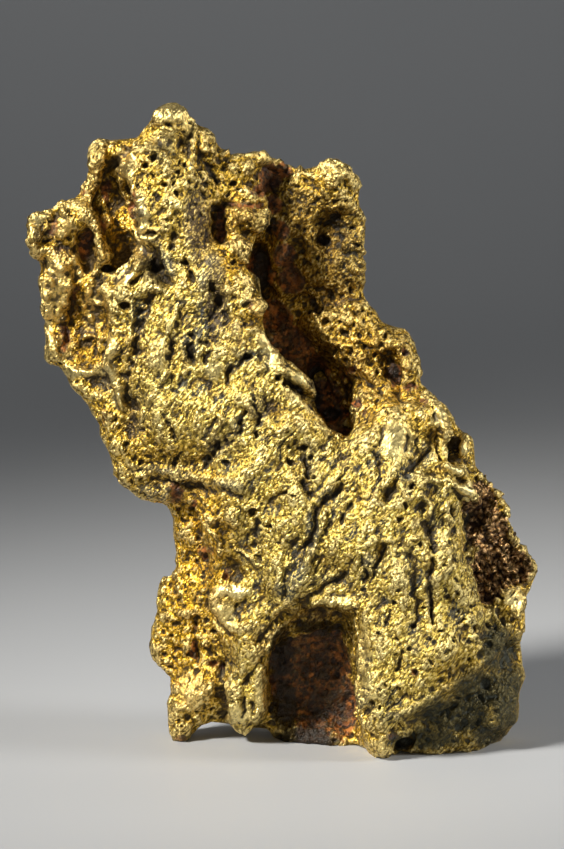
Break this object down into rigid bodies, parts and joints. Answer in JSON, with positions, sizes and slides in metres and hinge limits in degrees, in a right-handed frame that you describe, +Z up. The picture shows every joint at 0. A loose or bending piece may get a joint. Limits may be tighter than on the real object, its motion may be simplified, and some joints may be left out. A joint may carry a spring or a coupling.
{
  "type": "gold nugget",
  "caption": "Natural gold nugget, flattish and boot-like, standing on its own feet, with a raised pitted plate, a slanted crevice and an arched hollow at the foot.",
  "frame": {"origin": "on the ground under the middle of the nugget's box", "axes": "+Z up, +Y from the front towards the back, so the front with the plate and the arch faces -Y, and +X to the right as the front is seen"},
  "size_m": [0.2022, 0.071, 0.2547],
  "materials": {
    "gold": "satin, pitted native gold, with rust-brown iron stain in the hollows"
  },
  "bodies": {
    "root": {"gold_nugget": "gold"}
  },
  "joints": []
}
